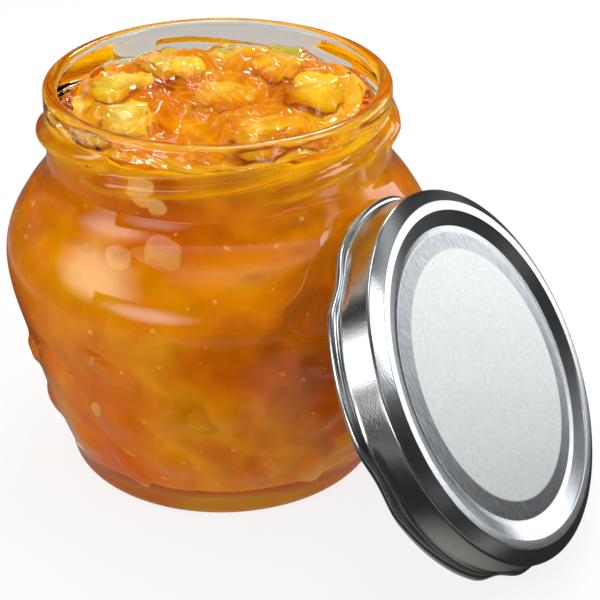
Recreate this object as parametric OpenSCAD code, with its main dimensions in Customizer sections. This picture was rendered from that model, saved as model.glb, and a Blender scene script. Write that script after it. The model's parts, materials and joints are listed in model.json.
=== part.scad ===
// Jam pot: an open glass jar of fruit jam, with its twist-off metal lid leaning beside it.
// Millimetres, +Z up. The origin is on the jar's axis, at the surface that the jar stands on.
// The lid leans on the jar from the +X side and faces away from it.

/* [Jar] */
// Height of the jar over its lip
jar_h = 93; // [84:0.5:102]
// Widest diameter of the belly
belly_d = 98.8; // [94:0.2:108]
// Outer diameter of the neck and lip
neck_d = 77.6; // [75:0.1:79]
// Thickness of the glass at the neck
neck_wall = 3.3; // [2.8:0.1:4.5]
// Height of the neck, from the lip down to where the shoulder begins
neck_h = 17; // [15:0.5:19]
// Diameter of the foot at its corner
foot_d = 73.4; // [68:0.2:78]
// Thickness of the glass wall
wall = 2.6; // [2:0.1:3.2]
// Thickness of the glass under the jam, at the heel
base_t = 4.5; // [3.5:0.1:6]
// How far the fruit pressed in relief stands out of the body
relief_out = 1.1; // [0.7:0.05:1.3]

/* [Thread] */
// Number of separate thread starts round the neck, and of lugs in the lid
starts = 6; // [4:1:6]
// How far a thread stands out of the neck
thread_out = 2; // [1.5:0.1:2.2]
// Width of a thread where it leaves the neck
thread_w = 3; // [2.4:0.1:3.4]
// Height that one thread climbs
thread_rise = 5; // [4:0.1:5.5]
// From the lip down to the high end of a thread
thread_drop = 6.8; // [6:0.1:7.5]

/* [Jam] */
// From the lip down to the jam's mean surface
headspace = 7.2; // [6.5:0.1:9]
// Length of the largest piece of fruit, as a share of the mouth's diameter
fruit_share = 0.296; // [0.22:0.002:0.32]

/* [Lid] */
// Thickness of the lid's tinned sheet
sheet_t = 0.22; // [0.2:0.01:0.3]
// Height of the lid from the crest to the bottom of its rolled edge
lid_h = 11.4; // [10.5:0.1:12.5]
// Radius of the rolled edge
roll_r = 1.1; // [0.9:0.05:1.3]
// Space between the threads' outer edge and the lid's skirt
skirt_gap = 0.8; // [0.6:0.05:1]
// Width of the flat crest over the lip
crest_w = 2.5; // [2:0.1:3]
// Drop from the crest to the centre panel
panel_drop = 1.1; // [0.8:0.05:1.4]
// Thickness of the sealing ring
seal_t = 0.9; // [0.7:0.05:1.2]

/* [Resting place of the lid] */
// Angle of the lid's axis from upright
lean = 58; // [55:0.5:66]
// How far round the jar the lid stands from the way it faces
lean_side = 12; // [0:0.5:16]
// Clear gap between the lid's edge and what it rests on
rest_gap = 0.3; // [0.2:0.05:0.5]

/* [Hidden] */
$fn = 96;

neck_r = neck_d / 2;
mouth_r = neck_r - neck_wall;
belly_r = belly_d / 2;
foot_r = foot_d / 2;
shoulder_z = jar_h - neck_h;
lip_round = 1.5;
heel_round = 3.5;
floor_round = 5;
floor_rise = 1.2;
push_up = 2.6;
push_share = 0.62;
ring_w = 7;
ring_in_r = foot_r - ring_w;
arc_steps = 6;
curve_steps = 4;

// Outline of the body from just over the heel to the neck. Each point is a share of the shoulder's
// height and a share of the belly's radius.
body_shares = [[0.066, 0.757], [0.146, 0.800], [0.245, 0.851], [0.366, 0.900], [0.488, 0.942],
               [0.610, 0.987], [0.708, 1.000], [0.793, 0.970], [0.879, 0.894], [0.945, 0.818]];

// Point on the smooth curve through the points p, at station s
function curve_at(p, s) =
    let (i = min(floor(s), len(p) - 2), t = s - i,
         a = p[max(i - 1, 0)], b = p[i], c = p[i + 1], d = p[min(i + 2, len(p) - 1)])
    (2 * b + (c - a) * t + (2 * a - 5 * b + 4 * c - d) * t * t + (3 * b - a - 3 * c + d) * t * t * t) / 2;
function curve(p) = [for (k = [0 : curve_steps * (len(p) - 1)]) curve_at(p, k / curve_steps)];

function unit(v) = v / norm(v);
// Points of the arc of radius r that rounds the corner p between its neighbours a and b
function corner(a, p, b, r) =
    let (u = unit(a - p), v = unit(b - p), h = acos(u * v) / 2,
         c = p + unit(u + v) * r / sin(h),
         s = p + u * r / tan(h) - c, e = p + v * r / tan(h) - c,
         from = atan2(s.y, s.x), turn = (atan2(e.y, e.x) - from + 540) % 360 - 180)
    [for (k = [0 : arc_steps]) c + r * [cos(from + turn * k / arc_steps), sin(from + turn * k / arc_steps)]];
// The path p with each point [x, y, radius] rounded, its two ends as they are
function rounded(p) =
    let (q = [for (v = p) [v.x, v.y]], last = len(p) - 1)
    [for (i = [0 : last]) each (i == 0 || i == last || p[i][2] == 0 ? [q[i]] :
        corner(q[i - 1], q[i], q[i + 1], p[i][2]))];
// The path p moved by d to its right-hand side
function beside(p, d) =
    [for (i = [0 : len(p) - 1])
        let (a = p[max(i - 1, 0)], b = p[min(i + 1, len(p) - 1)], t = unit(b - a))
        p[i] + d * [t.y, -t.x]];
function turned(p) = [for (i = [len(p) - 1 : -1 : 0]) p[i]];

// Outside of the jar, from the corner of the foot up to the lip
body_points = [for (q = body_shares) [q[1] * belly_r, q[0] * shoulder_z]];
body_curve = curve(concat(body_points, [[neck_r, shoulder_z]]));
outer_side = concat(
    corner([ring_in_r, 0], [foot_r, 0], body_curve[0], heel_round),
    body_curve,
    corner([neck_r, shoulder_z], [neck_r, jar_h], [mouth_r, jar_h], lip_round));

// Inside of the jar, from the middle of its floor up to the straight mouth
mouth_z = shoulder_z + thread_w;
floor_level = base_t + floor_rise;
inner_wall = [for (q = beside(turned(body_curve), wall)) if (q.y > base_t + floor_round) q];
inner_side = concat(
    [[0, floor_level]],
    corner([0, floor_level], [foot_r - wall, base_t], inner_wall[len(inner_wall) - 1], floor_round),
    turned(inner_wall),
    [[mouth_r, mouth_z]]);

function by_height(p) = [for (q = p) [q.y, q.x]];
function inner_r(z) = lookup(z, by_height([for (i = [1 : len(inner_side) - 1]) inner_side[i]]));
function outer_r(z) = lookup(z, by_height(body_curve));

// The ring that the jar stands on, with the hollow inside it
foot_side = rounded([
    [0, push_up, 0],
    [foot_r * push_share, push_up, push_up],
    [ring_in_r, 0, lip_round],
    [foot_r - heel_round, 0, 0]]);
module body_of_jar() {
    rotate_extrude()
        polygon(concat(
            foot_side,
            outer_side,
            corner([neck_r, jar_h], [mouth_r, jar_h], [mouth_r, mouth_z], lip_round),
            turned(inner_side)));
}

// Round fruit and leaves in relief, in a wreath round the lower body. Each fruit: place along one repeat,
// height as a share of the shoulder's, and the radius that it is struck with as a share of the belly's.
relief_repeats = 6;
relief_turn = 360 / relief_repeats;
berry_shares = [[0, 0.45, 0.30], [0.42, 0.36, 0.24], [0.70, 0.22, 0.17], [0.12, 0.20, 0.20]];
// Each leaf: place and height as above, then its turn
leaf_shares = [[0.40, 0.57, 65], [0.74, 0.42, 150], [0.43, 0.16, 30]];
leaf_cut_share = 0.19;
leaf_apart_share = 0.13;
module cap(ball, out) {
    intersection() {
        translate([0, 0, out - ball]) sphere(ball);
        translate([0, 0, -wall / 2]) cylinder(r = ball, h = ball);
    }
}
// Puts its children on the outside of the body, upright on the wall
module on_body(place, height) {
    z = shoulder_z * height;
    slope = atan2(outer_r(z + wall) - outer_r(z - wall), 2 * wall);
    rotate([0, 0, relief_turn * place]) translate([outer_r(z), 0, z]) rotate([0, 90 + slope, 0]) children();
}
module leaf(turn) {
    r = belly_r * leaf_cut_share;
    apart = belly_r * leaf_apart_share;
    rotate([0, 0, turn]) intersection() {
        cap(2 * r, relief_out);
        translate([0, apart, -wall]) cylinder(r = r, h = 2 * wall);
        translate([0, -apart, -wall]) cylinder(r = r, h = 2 * wall);
    }
}
module relief() {
    for (q = berry_shares)
        on_body(q[0], q[1]) cap(belly_r * q[2], relief_out);
    for (q = leaf_shares)
        on_body(q[0], q[1]) leaf(q[2]);
}

// One thread: a rounded ridge that climbs the neck and fades out at both ends
thread_turn = 360 / starts;
thread_phase = 255;
thread_steps = 16;
thread_sink = wall / 4;
ridge_shares = [[0, -0.5], [0.55, -0.42], [0.93, -0.2], [1, 0], [0.93, 0.2], [0.55, 0.42], [0, 0.5]];
end_share = 0.2;
end_blunt = 0.6;
tip_share = 0.05;
tip_w_share = 0.4;
function fade(u) = pow(max(0, min(1, u / end_share, (1 - u) / end_share)), end_blunt);
thread_low = jar_h - thread_drop - thread_rise;
function ridge(u) =
    let (k = max(fade(u), tip_share), a = thread_turn * u, z = thread_low + thread_rise * u,
         w = thread_w * (tip_w_share + (1 - tip_w_share) * k))
    [for (q = ridge_shares)
        let (r = neck_r + q[0] * thread_out * k - (1 - q[0]) * thread_sink)
        [r * cos(a), r * sin(a), z + q[1] * w]];
module thread() {
    n = len(ridge_shares);
    points = [for (i = [0 : thread_steps]) each ridge(i / thread_steps)];
    ends = [[for (j = [n - 1 : -1 : 0]) j], [for (j = [0 : n - 1]) thread_steps * n + j]];
    sides = [for (i = [0 : thread_steps - 1], j = [0 : n - 1])
        let (a = i * n + j, b = i * n + (j + 1) % n) each [[a, b, a + n], [b, b + n, a + n]]];
    polyhedron(points, concat(ends, sides));
}

module glass_jar() {
    color([0.86, 0.91, 0.9, 0.4]) {
        body_of_jar();
        for (k = [0 : starts - 1])
            rotate([0, 0, thread_phase + thread_turn * k]) thread();
        for (k = [0 : relief_repeats - 1])
            rotate([0, 0, relief_turn * k]) relief();
    }
}

// The jam fills the jar up to a lumpy surface, drawn as the space over it that is cut away
jam_level = jar_h - headspace;
over = 1;
top_r = mouth_r + over;
top_rings = 8;
top_sides = 48;
lump = 1.3;
meniscus = 0.8;
meniscus_power = 6;
// Waves of the surface: how many to the mouth's radius along x and along y, start angle, share of the lump
wave_shares = [[0.5, 1.1, 130, 0.5], [1.3, -0.5, 310, 0.5], [1.7, 1.5, 220, 0.3], [-1.6, 1.4, 60, 0.3]];
function sum(v, n) = n < 0 ? 0 : v[n] + sum(v, n - 1);
function height_at(x, y) =
    let (heights = [for (w = wave_shares) w[3] * sin(360 * (w[0] * x + w[1] * y) / mouth_r + w[2])])
    jam_level + lump * sum(heights, len(heights) - 1);
function top_point(i, j) =
    let (r = top_r * i / top_rings, a = 360 * j / top_sides, x = r * cos(a), y = r * sin(a))
    [x, y, height_at(x, y) + meniscus * pow(i / top_rings, meniscus_power)];
module space_over_jam() {
    points = concat([[0, 0, height_at(0, 0)]],
        [for (i = [1 : top_rings], j = [0 : top_sides - 1]) top_point(i, j)],
        [for (j = [0 : top_sides - 1]) let (p = top_point(top_rings, j)) [p.x, p.y, jar_h + over]]);
    function at(i, j) = 1 + (i - 1) * top_sides + j % top_sides;
    faces = concat(
        [for (j = [0 : top_sides - 1]) [0, at(1, j), at(1, j + 1)]],
        [for (i = [1 : top_rings], j = [0 : top_sides - 1])
            each [[at(i, j), at(i + 1, j), at(i, j + 1)], [at(i, j + 1), at(i + 1, j), at(i + 1, j + 1)]]],
        [[for (j = [top_sides - 1 : -1 : 0]) at(top_rings + 1, j)]]);
    polyhedron(points, faces);
}

fruit_l = 2 * mouth_r * fruit_share;
// Pieces of fruit. Those at the surface: direction, distance from the axis as a share of the mouth's
// radius, height over the jam's level, length, width and thickness as shares of the longest, and turn.
surface_shares = [
    [184, 0.68, -0.05, [0.82, 0.60, 0.34], 75],
    [144, 0.66, -0.04, [0.76, 0.58, 0.32], 40],
    [226, 0.60, -0.05, [0.90, 0.62, 0.32], 120],
    [84, 0.70, -0.04, [0.85, 0.55, 0.34], 160],
    [44, 0.66, -0.07, [0.88, 0.60, 0.34], 115],
    [110, 0.20, -0.04, [0.80, 0.62, 0.30], 20],
    [330, 0.52, -0.06, [0.86, 0.60, 0.30], 60]];
// Those in the jelly: direction, distance from the axis as a share of what the wall leaves, height as a
// share of the jam's level, then sizes and turn as above.
deep_shares = [
    [289, 0.96, 0.36, [0.95, 0.72, 0.60], 10],
    [252, 0.97, 0.66, [0.90, 0.66, 0.50], 20],
    [268, 0.96, 0.20, [0.80, 0.60, 0.55], 60],
    [318, 0.95, 0.62, [1.00, 0.70, 0.55], 15],
    [222, 0.96, 0.38, [0.92, 0.70, 0.55], 80],
    [350, 0.94, 0.32, [0.90, 0.70, 0.60], 40],
    [40, 0.95, 0.50, [1.00, 0.74, 0.60], 25],
    [110, 0.95, 0.34, [0.95, 0.70, 0.56], 70],
    [165, 0.95, 0.60, [1.00, 0.72, 0.58], 35]];
chunk_rings = 7;
chunk_sides = 12;
blocky = 0.72;
wave_share = 0.09;

function power(v, e) = sign(v) * pow(abs(v), e);
// Corner of a rounded block of unit size at latitude b and longitude a, with two gentle waves in it
function chunk_corner(size, a, b, turn) =
    let (k = (1 + wave_share * sin(3 * a + 2 * turn) * cos(b) + wave_share * sin(2 * a + 5 * b + turn)) / 2 /
         (1 + 2 * wave_share))
    [size.x * k * power(cos(b), blocky) * power(cos(a), blocky),
     size.y * k * power(cos(b), blocky) * power(sin(a), blocky),
     size.z * k * power(sin(b), blocky)];
module chunk(size, turn) {
    points = concat([chunk_corner(size, 0, -90, turn)],
        [for (i = [1 : chunk_rings], j = [0 : chunk_sides - 1])
            chunk_corner(size, 360 * j / chunk_sides, -90 + 180 * i / (chunk_rings + 1), turn)],
        [chunk_corner(size, 0, 90, turn)]);
    function at(i, j) = 1 + (i - 1) * chunk_sides + j % chunk_sides;
    top = 1 + chunk_rings * chunk_sides;
    faces = concat(
        [for (j = [0 : chunk_sides - 1]) each [[0, at(1, j), at(1, j + 1)],
                                               [top, at(chunk_rings, j + 1), at(chunk_rings, j)]]],
        [for (i = [1 : chunk_rings - 1], j = [0 : chunk_sides - 1])
            each [[at(i, j), at(i + 1, j), at(i, j + 1)], [at(i, j + 1), at(i + 1, j), at(i + 1, j + 1)]]]);
    polyhedron(points, faces);
}
module surface_piece(k) {
    q = surface_shares[k];
    r = mouth_r * q[1];
    x = r * cos(q[0]);
    y = r * sin(q[0]);
    translate([x, y, height_at(x, y) + fruit_l * q[2]])
        rotate([0, 0, q[4]]) chunk(fruit_l * q[3], q[4]);
}
module deep_piece(k) {
    q = deep_shares[k];
    size = fruit_l * q[3];
    z = jam_level * q[2];
    // The wall leans, so the narrowest place along the piece's height counts
    room = min(inner_r(z - size.x / 2), inner_r(z), inner_r(z + size.x / 2)) - size.z / 2;
    rotate([0, 0, q[0]]) translate([room * q[1], 0, z])
        rotate([0, 90, 0]) rotate([0, 0, q[4]]) chunk(size, q[4]);
}
// Air pockets between the jelly and the glass. Each: direction, height as a share of the jam's level, and
// its radius as a share of the wall's thickness.
pocket_shares = [[266, 0.77, 1.15], [280, 0.79, 1.55], [271, 0.93, 1.2], [276, 0.91, 0.9], [256, 0.32, 0.7]];
module pocket(q) {
    r = wall * q[2];
    z = jam_level * q[1];
    rotate([0, 0, q[0]]) translate([inner_r(z) - r / 2, 0, z]) sphere(r);
}
module fruit(k) {
    if (k < len(surface_shares)) color([0.96, 0.68, 0.2]) surface_piece(k);
    else color([0.9, 0.45, 0.05]) deep_piece(k - len(surface_shares));
}
module jam() {
    color([0.93, 0.55, 0.06, 0.9]) difference() {
        rotate_extrude() polygon(concat(inner_side, [[mouth_r, jar_h], [0, jar_h]]));
        space_over_jam();
        for (k = [0 : len(surface_shares) + len(deep_shares) - 1])
            fruit(k);
        for (q = pocket_shares)
            pocket(q);
    }
}

// The lid, drawn with its crest at height zero and its open side down
skirt_r = neck_r + thread_out + skirt_gap + sheet_t;
shoulder_w = 3.2;
step_w = 2.7;
groove_w = 1.3;
slope_w = 3.9;
crest_dip = 0.25;
groove_drop = panel_drop + 0.5;
shoulder_drop = 1.6;
crest_out_r = skirt_r - shoulder_w;
crest_in_r = crest_out_r - crest_w;
groove_out_r = crest_in_r - step_w;
groove_in_r = groove_out_r - groove_w;
panel_r = groove_in_r - slope_w;
roll_z = roll_r - lid_h;
roll_c = skirt_r + roll_r / 2;
bend = 0.5;

// Outside of the pressed sheet, from the middle of the panel to the rolled edge
sheet_path = rounded([
    [0, -panel_drop, 0],
    [panel_r, -panel_drop, bend],
    [groove_in_r, -groove_drop, bend],
    [groove_out_r, -groove_drop + crest_dip, bend],
    [crest_in_r, -crest_dip, bend],
    [crest_in_r + bend, 0, bend],
    [crest_out_r, 0, shoulder_drop / 2],
    [skirt_r, -shoulder_drop, shoulder_drop / 2],
    [skirt_r, roll_z, 0]]);
under_path = beside(sheet_path, sheet_t);

// The rolled edge, pressed in at each lug so that it hooks under a thread
lug_half = 13;
lug_turn = 360 / starts;
lug_phase = 30;
lug_in = 1.4;
roll_steps = 120;
roll_sides = 10;
function from_lug(a) = abs((a - lug_phase + 720 + lug_turn / 2) % lug_turn - lug_turn / 2);
function edge_r(a) = roll_c - (from_lug(a) < lug_half ? lug_in * (1 + cos(180 * from_lug(a) / lug_half)) / 2 : 0);
module rolled_edge() {
    points = [for (i = [0 : roll_steps - 1], j = [0 : roll_sides - 1])
        let (a = 360 * i / roll_steps, b = 360 * (j + 0.5) / roll_sides, r = edge_r(a) + roll_r * cos(b))
        [r * cos(a), r * sin(a), roll_z + roll_r * sin(b)]];
    function at(i, j) = (i % roll_steps) * roll_sides + j % roll_sides;
    polyhedron(points, [for (i = [0 : roll_steps - 1], j = [0 : roll_sides - 1])
        each [[at(i, j), at(i, j + 1), at(i + 1, j)], [at(i, j + 1), at(i + 1, j + 1), at(i + 1, j)]]]);
}

// Where the lid stands. Its lowest edge is on the surface, and its back edge is a small gap from the jar.
facing = [sin(lean), 0, cos(lean)];
upslope = [-cos(lean), 0, sin(lean)];
edge_z = roll_c * sin(lean) + roll_r + rest_gap;
// Outline of the jar, as height and radius, at the direction a round it, with the thread that passes there
function outline_at(a) =
    let (u = ((a - thread_phase + 720) % thread_turn) / thread_turn, z = thread_low + thread_rise * u)
    concat(by_height(body_curve), [[z - thread_w / 2, neck_r], [z, neck_r + thread_out * fade(u)],
                                   [z + thread_w / 2, neck_r], [jar_h, neck_r]]);
edge_step = 3;
function edge_centre(d) = [d * cos(lean_side), -d * sin(lean_side), edge_z];
function edge_point(d, a) = edge_centre(d) + roll_c * (cos(a) * upslope + sin(a) * [0, 1, 0]);
function to_segment(p, a, b) =
    let (t = max(0, min(1, (p - a) * (b - a) / ((b - a) * (b - a))))) norm(p - a - t * (b - a));
function from_jar(p) =
    let (q = [p.z, norm([p.x, p.y])], line = outline_at(atan2(p.y, p.x)),
         near = min([for (i = [0 : len(line) - 2]) to_segment(q, line[i], line[i + 1])]))
    q[0] < jar_h && q[1] < lookup(q[0], line) ? -near : near;
function edge_gap(d) = min([for (a = [-90 : edge_step : 90]) from_jar(edge_point(d, a))]) - roll_r;
function stand_off(low, high, n = 16) =
    let (d = (low + high) / 2)
    n == 0 ? high : edge_gap(d) < rest_gap ? stand_off(d, high, n - 1) : stand_off(low, d, n - 1);
lid_d = stand_off(belly_r / 2, 2 * belly_r);
lid_place = edge_centre(lid_d) - roll_z * facing;

module as_it_leans() {
    translate(lid_place) rotate([0, lean, 0]) children();
}
module lid_shell() {
    color([0.8, 0.81, 0.82]) as_it_leans() {
        rotate_extrude() polygon(concat(sheet_path, turned(under_path)));
        rolled_edge();
    }
}
seal_in_r = crest_in_r - sheet_t;
seal_out_r = crest_out_r + sheet_t;
module sealing_ring() {
    sheet_under = [for (q = under_path) if (q.x >= seal_in_r && q.x <= seal_out_r) q];
    low = sheet_under[0].y - seal_t / 2;
    color([0.86, 0.84, 0.78]) as_it_leans()
        rotate_extrude() polygon(concat(sheet_under,
            [[seal_out_r, low], [seal_in_r, low]]));
}

glass_jar();
jam();
lid_shell();
sealing_ring();
fruit(0);  // fruit_piece_1
fruit(1);  // fruit_piece_2
fruit(2);  // fruit_piece_3
fruit(3);  // fruit_piece_4
fruit(4);  // fruit_piece_5
fruit(5);  // fruit_piece_6
fruit(6);  // fruit_piece_7
fruit(7);  // fruit_piece_8
fruit(8);  // fruit_piece_9
fruit(9);  // fruit_piece_10
fruit(10);  // fruit_piece_11
fruit(11);  // fruit_piece_12
fruit(12);  // fruit_piece_13
fruit(13);  // fruit_piece_14
fruit(14);  // fruit_piece_15
fruit(15);  // fruit_piece_16
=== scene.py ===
# %% [markdown]
# A jam pot: a round glass jar of fruit jam whose twist-off lid leans beside it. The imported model
# gives the true sizes and places. This lesson dresses it piece by piece: clear glass, wet jelly
# with fruit in it, and bright tinned steel.

# %% Load the frame
import json
import math
import random

import bpy
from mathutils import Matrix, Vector, noise


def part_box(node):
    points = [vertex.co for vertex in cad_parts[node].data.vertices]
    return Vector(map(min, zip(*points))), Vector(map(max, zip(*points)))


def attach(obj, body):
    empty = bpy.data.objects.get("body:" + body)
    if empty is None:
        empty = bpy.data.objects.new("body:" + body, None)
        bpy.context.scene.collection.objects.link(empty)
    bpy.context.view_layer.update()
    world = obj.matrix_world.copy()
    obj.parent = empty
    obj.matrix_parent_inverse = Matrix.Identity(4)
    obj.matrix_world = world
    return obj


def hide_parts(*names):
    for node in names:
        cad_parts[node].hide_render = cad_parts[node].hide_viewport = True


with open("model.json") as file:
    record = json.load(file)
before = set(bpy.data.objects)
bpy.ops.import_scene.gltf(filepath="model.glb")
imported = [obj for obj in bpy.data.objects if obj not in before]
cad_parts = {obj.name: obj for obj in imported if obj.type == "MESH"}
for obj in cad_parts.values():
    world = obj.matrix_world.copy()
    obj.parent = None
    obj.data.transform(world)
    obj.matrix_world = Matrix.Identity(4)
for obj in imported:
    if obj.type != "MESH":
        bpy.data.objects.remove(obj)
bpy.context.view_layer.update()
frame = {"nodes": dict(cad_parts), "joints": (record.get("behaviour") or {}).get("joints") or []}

MM = 0.001
print("nodes in the frame:", len(frame["nodes"]))

# %% [markdown]
# Small helpers come first. Colours are written as hex values, the way a painter's chart gives them,
# and one function turns them into the linear numbers that the renderer adds up. Another adds a
# shader node with its settings and links, so that each material below reads as a short list.

# %% Helpers for colour and shader nodes
def linear(hex_colour):
    parts = [int(hex_colour[i:i + 2], 16) / 255 for i in (1, 3, 5)]
    return (*[c / 12.92 if c <= 0.04045 else ((c + 0.055) / 1.055) ** 2.4 for c in parts], 1.0)


def add_node(tree, kind, links=None, **settings):
    """Adds a node. Settings with a plain name go to its properties, links and values to its sockets."""
    made = tree.nodes.new(kind)
    for name, value in settings.items():
        setattr(made, name, value)
    for socket, value in (links or {}).items():
        target = made.inputs[socket]
        if isinstance(value, bpy.types.NodeSocket):
            tree.links.new(value, target)
        else:
            target.default_value = value
    return made


def new_material(name):
    made = bpy.data.materials.new(name)
    made.use_nodes = True
    made.node_tree.nodes.clear()
    return made, made.node_tree


def finish_material(tree, surface, volume=None):
    links = {"Surface": surface}
    if volume is not None:
        links["Volume"] = volume
    add_node(tree, "ShaderNodeOutputMaterial", links)


def colour_steps(tree, value, steps):
    """A ramp from pairs of place and colour."""
    ramp = add_node(tree, "ShaderNodeValToRGB", {"Fac": value})
    while len(ramp.color_ramp.elements) < len(steps):
        ramp.color_ramp.elements.new(0.5)
    for element, (place, colour) in zip(ramp.color_ramp.elements, steps):
        element.position = place
        element.color = linear(colour)
    return ramp.outputs["Color"]


def map_range(tree, value, start, end, low=0.0, high=1.0, curve="LINEAR"):
    return add_node(tree, "ShaderNodeMapRange", {
        "Value": value, "From Min": start, "From Max": end, "To Min": low, "To Max": high},
        interpolation_type=curve).outputs["Result"]


def mix_colours(tree, factor, first, second, **settings):
    return add_node(tree, "ShaderNodeMix", {"Factor": factor, "A": first, "B": second},
                    data_type="RGBA", **settings).outputs["Result"]


def mix_shaders(tree, factor, first, second):
    return add_node(tree, "ShaderNodeMixShader", {"Fac": factor, 1: first, 2: second}).outputs["Shader"]


def object_place(tree):
    """Where a point lies on the object itself."""
    return add_node(tree, "ShaderNodeTexCoord").outputs["Object"]


def mottle(tree, where, scale, **sockets):
    """Soft noise, with about so many patches to the metre."""
    links = {"Vector": where, "Scale": scale}
    links.update({name.title(): value for name, value in sockets.items()})
    return add_node(tree, "ShaderNodeTexNoise", links).outputs["Fac"]


def relief_of(tree, height, strength, distance):
    """A bump from a height."""
    return add_node(tree, "ShaderNodeBump", {
        "Height": height, "Strength": strength, "Distance": distance}).outputs["Normal"]


print("a mid jam orange is", [round(c, 3) for c in linear("#dc8200")])

# %% [markdown]
# The modelling helpers work like hands in edit mode. A profile is drawn as a chain of extruded
# points in the XZ plane, and spun round the Z axis. That is how a lathe, a jar mould or a press
# tool makes a round form, and the profile holds all of its character.

# %% Helpers for turned forms
WELD = 0.02 * MM


def clear_selection():
    if bpy.context.object and bpy.context.object.mode != "OBJECT":
        bpy.ops.object.mode_set(mode="OBJECT")
    bpy.ops.object.select_all(action="DESELECT")


def pick(piece):
    clear_selection()
    piece.select_set(True)
    bpy.context.view_layer.objects.active = piece


def turned_form(name, profile, steps):
    """Draws the profile, a list of (radius, height), point by point, and spins it round the Z axis."""
    clear_selection()
    bpy.ops.mesh.primitive_plane_add(size=MM, location=(0, 0, 0))
    piece = bpy.context.object
    piece.name = piece.data.name = name
    bpy.ops.object.mode_set(mode="EDIT")
    bpy.ops.mesh.select_all(action="SELECT")
    bpy.ops.mesh.merge(type="CENTER")
    here = profile[0]
    bpy.ops.transform.translate(value=(here[0], 0, here[1]))
    for point in profile[1:]:
        step = (point[0] - here[0], 0, point[1] - here[1])
        bpy.ops.mesh.extrude_region_move(TRANSFORM_OT_translate={"value": step})
        here = point
    bpy.ops.mesh.select_all(action="SELECT")
    bpy.ops.mesh.spin(steps=steps, angle=2 * math.pi, center=(0, 0, 0), axis=(0, 0, 1))
    bpy.ops.mesh.select_all(action="SELECT")
    bpy.ops.mesh.remove_doubles(threshold=WELD)
    bpy.ops.mesh.normals_make_consistent(inside=False)
    bpy.ops.object.mode_set(mode="OBJECT")
    bpy.ops.object.shade_smooth()
    return piece


def smooth_curve(points, steps):
    """Points of the smooth curve through the given ones, steps to a stretch."""
    made = []
    last = len(points) - 1
    for k in range(last * steps + 1):
        i = min(k // steps, last - 1)
        t = k / steps - i
        a, b, c, d = (Vector(points[max(0, min(last, i + n))]) for n in (-1, 0, 1, 2))
        made.append(tuple((2 * b + (c - a) * t + (2 * a - 5 * b + 4 * c - d) * t ** 2
                           + (3 * b - a - 3 * c + d) * t ** 3) / 2))
    return made


def rounded_corner(a, p, b, radius, steps=6):
    """Points of the arc that rounds corner p between its neighbours a and b."""
    a, p, b = Vector(a), Vector(p), Vector(b)
    u, v = (a - p).normalized(), (b - p).normalized()
    half = math.acos(max(-1, min(1, u.dot(v)))) / 2
    middle = p + (u + v).normalized() * radius / math.sin(half)
    start, end = p + u * radius / math.tan(half) - middle, p + v * radius / math.tan(half) - middle
    first = math.atan2(start.y, start.x)
    turn = (math.atan2(end.y, end.x) - first + 3 * math.pi) % (2 * math.pi) - math.pi
    return [(middle.x + radius * math.cos(first + turn * k / steps),
             middle.y + radius * math.sin(first + turn * k / steps)) for k in range(steps + 1)]


def beside(path, distance):
    """The path moved sideways, to its right."""
    made = []
    for i, p in enumerate(path):
        a, b = Vector(path[max(i - 1, 0)]), Vector(path[min(i + 1, len(path) - 1)])
        along = (b - a).normalized()
        made.append((p[0] + distance * along.y, p[1] - distance * along.x))
    return made


def in_steps(start, end, count):
    """Points along a straight stretch, without its first."""
    return [(start[0] + (end[0] - start[0]) * k / count, start[1] + (end[1] - start[1]) * k / count)
            for k in range(1, count + 1)]


print("a quarter arc in six steps has", len(rounded_corner((1, 0), (0, 0), (0, 1), 0.5)), "points")

# %% [markdown]
# The camera comes early, because every look is judged through it. The photograph was taken with a
# long lens from about 28 degrees above the table, so the jar's mouth is a wide oval and its sides
# hardly converge. The lid faces +X, and the camera stands 28 degrees round from it.

# %% Camera
CAMERA_TURN = math.radians(28)
CAMERA_AWAY = 380 * MM
CAMERA_HEIGHT = 246 * MM
AIM = Vector((23.7, -7.6, 45.9)) * MM
camera_place = Vector((CAMERA_AWAY * math.sin(CAMERA_TURN), -CAMERA_AWAY * math.cos(CAMERA_TURN),
                       CAMERA_HEIGHT))
camera_data = bpy.data.cameras.new("camera")
camera_data.sensor_width = 36
camera_data.lens = 110
camera_data.clip_start = 10 * MM
camera = bpy.data.objects.new("camera", camera_data)
bpy.context.scene.collection.objects.link(camera)
camera.location = camera_place
camera.rotation_euler = (AIM - camera_place).to_track_quat("-Z", "Y").to_euler()
bpy.context.scene.camera = camera
bpy.context.scene.view_settings.view_transform = "Standard"
looks_down = math.asin((camera_place.z - AIM.z) / (AIM - camera_place).length)
print("camera looks down by", round(math.degrees(looks_down), 1), "degrees")

# %% [markdown]
# Glass and polished metal show nothing of their own: they show the room. A plain white room would
# make the glass vanish. So the room that reflections see is mostly dark, as in a studio with black
# flags, with a bright band high up and a faint one at the horizon. Light that comes through glass
# finds a soft grey instead, and the camera itself sees white. A ray that has passed through glass
# counts as a glossy ray too, so the mix for such rays comes after the mix for glossy ones.

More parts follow.
